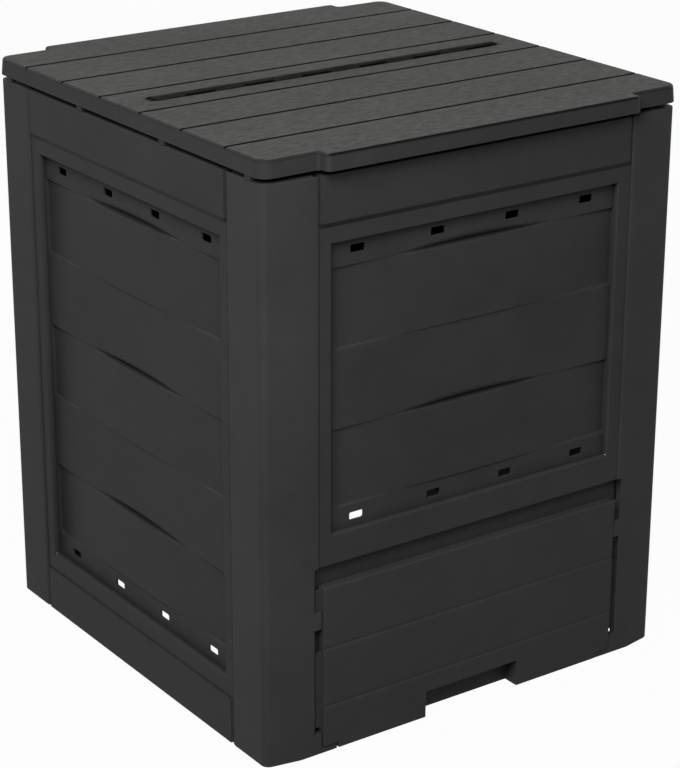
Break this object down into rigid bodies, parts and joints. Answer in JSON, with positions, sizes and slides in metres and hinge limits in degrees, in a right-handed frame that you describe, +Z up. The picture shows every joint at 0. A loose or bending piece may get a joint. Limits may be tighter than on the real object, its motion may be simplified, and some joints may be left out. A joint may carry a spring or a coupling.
{
  "type": "compost bin with lid",
  "caption": "Square garden compost bin of moulded plastic with boarded walls, a lifting hatch low on the front and a folding two-leaf lid.",
  "frame": {"origin": "middle of the footprint, on the ground", "axes": "+Z up, -Y out of the hatch side, +X to the right seen from the hatch side"},
  "size_m": [0.6092, 0.6454, 0.7481],
  "materials": {
    "post_plastic": "moulded anthracite polypropylene with a fine satin grain",
    "rail_plastic": "moulded anthracite polypropylene with a fine satin grain",
    "wall_plastic": "moulded anthracite polypropylene, satin, with a faint board grain",
    "hatch_plastic": "moulded anthracite polypropylene with a fine satin grain",
    "lid_plastic": "moulded anthracite polypropylene with a shallow wood grain on its planks",
    "pin_plastic": "smooth extruded anthracite plastic"
  },
  "bodies": {
    "bin_body": {"corner_post_front_left": "post_plastic", "corner_post_front_right": "post_plastic", "corner_post_rear_left": "post_plastic", "corner_post_rear_right": "post_plastic", "base_rail_left": "rail_plastic", "base_rail_right": "rail_plastic", "base_rail_rear": "rail_plastic", "side_panel_left": "wall_plastic", "side_panel_right": "wall_plastic", "rear_panel": "wall_plastic", "front_panel": "wall_plastic"},
    "hatch_door": {"hatch": "hatch_plastic"},
    "lid_front": {"lid_front_leaf": "lid_plastic"},
    "lid_rear": {"lid_rear_leaf": "lid_plastic", "lid_hinge_pin": "pin_plastic", "hinge_pin_cap": "pin_plastic"}
  },
  "joints": [
    {"name": "hatch_lift", "type": "slide", "parent": "bin_body", "child": "hatch_door", "axis": [0, 0, 1], "range_m": [0, 0.025]},
    {"name": "lid_front_hinge", "type": "hinge", "parent": "bin_body", "child": "lid_front", "pos_m": [0, 0, 0.7454], "axis": [-1, 0, 0], "range_deg": [0, 90]},
    {"name": "lid_rear_hinge", "type": "hinge", "parent": "bin_body", "child": "lid_rear", "pos_m": [0, 0, 0.7454], "axis": [1, 0, 0], "range_deg": [0, 90]}
  ]
}
